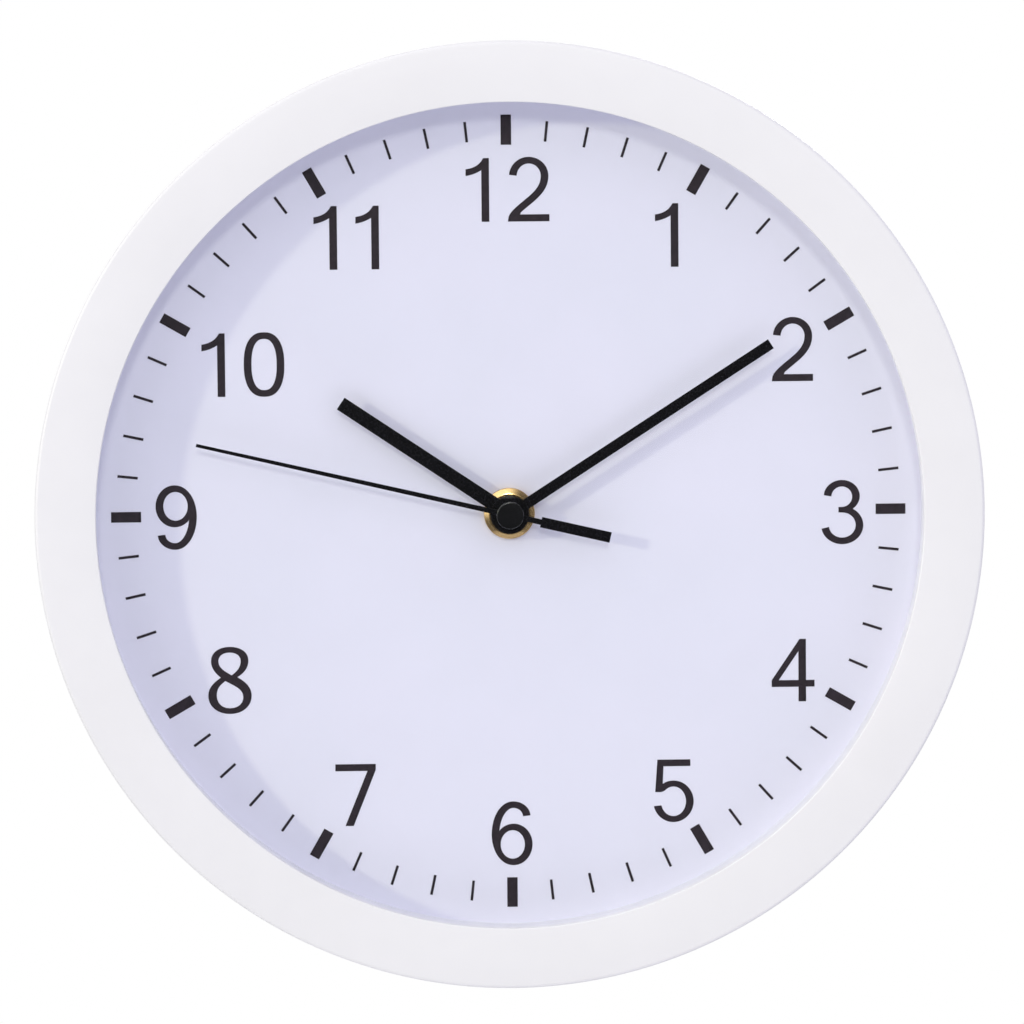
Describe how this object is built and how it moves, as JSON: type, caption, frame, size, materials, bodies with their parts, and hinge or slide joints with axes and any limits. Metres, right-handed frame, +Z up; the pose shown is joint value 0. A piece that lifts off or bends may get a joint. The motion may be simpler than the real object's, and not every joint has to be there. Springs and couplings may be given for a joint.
{
  "type": "wall clock",
  "caption": "Round white wall clock with a domed plastic bezel, flat glass, printed numerals, straight black hands and a battery quartz movement behind the dial.",
  "frame": {"origin": "on the wall plane, on the axis of the hands: the middle of the case's rear rim", "axes": "-Y is the way the clock faces, +Z is up to the twelve, +X is to the three"},
  "size_m": [0.22, 0.038, 0.22],
  "materials": {
    "case_white": "satin white moulded plastic",
    "ring_white": "smooth white plastic",
    "clear_glass": "clear flat mineral glass",
    "dial_paper": "smooth cool white printed sheet",
    "ink_black": "printed black ink",
    "back_white": "moulded white plastic",
    "movement_black": "black moulded plastic with a fine grain",
    "brass": "turned brass",
    "rubber_black": "soft black rubber",
    "gear_nylon": "natural moulded nylon",
    "steel": "bright steel",
    "silicon_steel": "grey stamped steel",
    "ferrite": "dark sintered ferrite",
    "copper": "enamelled copper wire",
    "board_green": "green solder mask",
    "epoxy_black": "glossy black epoxy",
    "cell_jacket": "metallic printed jacket of a dry cell",
    "hand_black": "satin black paint"
  },
  "bodies": {
    "case": {"bezel_frame": "case_white", "glass_lens": "clear_glass", "spacer_ring": "ring_white", "dial_sheet": "dial_paper", "hour_numerals": "ink_black", "hour_marks": "ink_black", "minute_marks": "ink_black", "back_plate": "back_white", "cover_screws": "steel", "movement_front_shell": "movement_black", "movement_rear_lid": "movement_black", "threaded_bushing": "brass", "rubber_washer": "rubber_black", "bushing_nut": "brass", "train_bridge": "gear_nylon", "bridge_screws": "steel", "intermediate_post": "steel", "minute_wheel_post": "steel", "stator_plate": "silicon_steel", "coil_core": "silicon_steel", "coil_bobbin": "gear_nylon", "coil_winding": "copper", "coil_leads": "copper", "circuit_board": "board_green", "chip_blob": "epoxy_black", "crystal_can": "steel", "positive_contact": "steel", "negative_contact": "steel"},
    "rotor": {"rotor_magnet": "ferrite", "rotor_pinion": "gear_nylon"},
    "intermediate": {"intermediate_wheel": "gear_nylon"},
    "seconds": {"second_wheel": "gear_nylon", "second_arbor": "steel", "second_hand": "hand_black", "second_hand_cap": "hand_black"},
    "third": {"third_wheel": "gear_nylon", "third_arbor": "gear_nylon"},
    "centre": {"centre_wheel": "gear_nylon"},
    "minutes": {"minute_arbor": "brass", "minute_hand": "hand_black"},
    "minute_work": {"minute_wheel": "gear_nylon"},
    "hours": {"hour_wheel": "gear_nylon", "hour_hand": "hand_black"},
    "knob": {"setting_knob": "movement_black"},
    "battery": {"battery_cell": "cell_jacket", "battery_cap": "steel"}
  },
  "joints": [
    {"name": "second_spin", "type": "hinge", "parent": "case", "child": "seconds", "pos_m": [0, 0, 0], "axis": [0, 1, 0], "continuous": true},
    {"name": "rotor_spin", "type": "hinge", "parent": "case", "child": "rotor", "pos_m": [0.01342, 0, -0.00426], "axis": [0, 1, 0], "continuous": true},
    {"name": "intermediate_spin", "type": "hinge", "parent": "case", "child": "intermediate", "pos_m": [0.00653, 0, -0.00304], "axis": [0, 1, 0], "continuous": true},
    {"name": "third_spin", "type": "hinge", "parent": "case", "child": "third", "pos_m": [0.0051, 0, 0.00883], "axis": [0, 1, 0], "continuous": true},
    {"name": "centre_spin", "type": "hinge", "parent": "case", "child": "centre", "pos_m": [0, 0, 0], "axis": [0, 1, 0], "continuous": true},
    {"name": "minute_spin", "type": "hinge", "parent": "case", "child": "minutes", "pos_m": [0, 0, 0], "axis": [0, 1, 0], "continuous": true},
    {"name": "minute_wheel_spin", "type": "hinge", "parent": "case", "child": "minute_work", "pos_m": [-0.0072, 0, 0], "axis": [0, 1, 0], "continuous": true},
    {"name": "hour_spin", "type": "hinge", "parent": "case", "child": "hours", "pos_m": [0, 0, 0], "axis": [0, 1, 0], "continuous": true},
    {"name": "knob_spin", "type": "hinge", "parent": "case", "child": "knob", "pos_m": [-0.01344, 0, 0.0036], "axis": [0, 1, 0], "continuous": true},
    {"name": "battery_slide", "type": "slide", "parent": "case", "child": "battery", "axis": [0, 1, 0], "range_m": [0, 0.022]}
  ],
  "couplings": [
    {"joint": "intermediate_spin", "follows": "second_spin", "ratio": -5},
    {"joint": "rotor_spin", "follows": "second_spin", "ratio": 30},
    {"joint": "third_spin", "follows": "second_spin", "ratio": -0.13333},
    {"joint": "centre_spin", "follows": "second_spin", "ratio": 0.016667},
    {"joint": "minute_wheel_spin", "follows": "minute_spin", "ratio": -0.33333},
    {"joint": "hour_spin", "follows": "minute_spin", "ratio": 0.083333},
    {"joint": "knob_spin", "follows": "minute_spin", "ratio": 1}
  ]
}
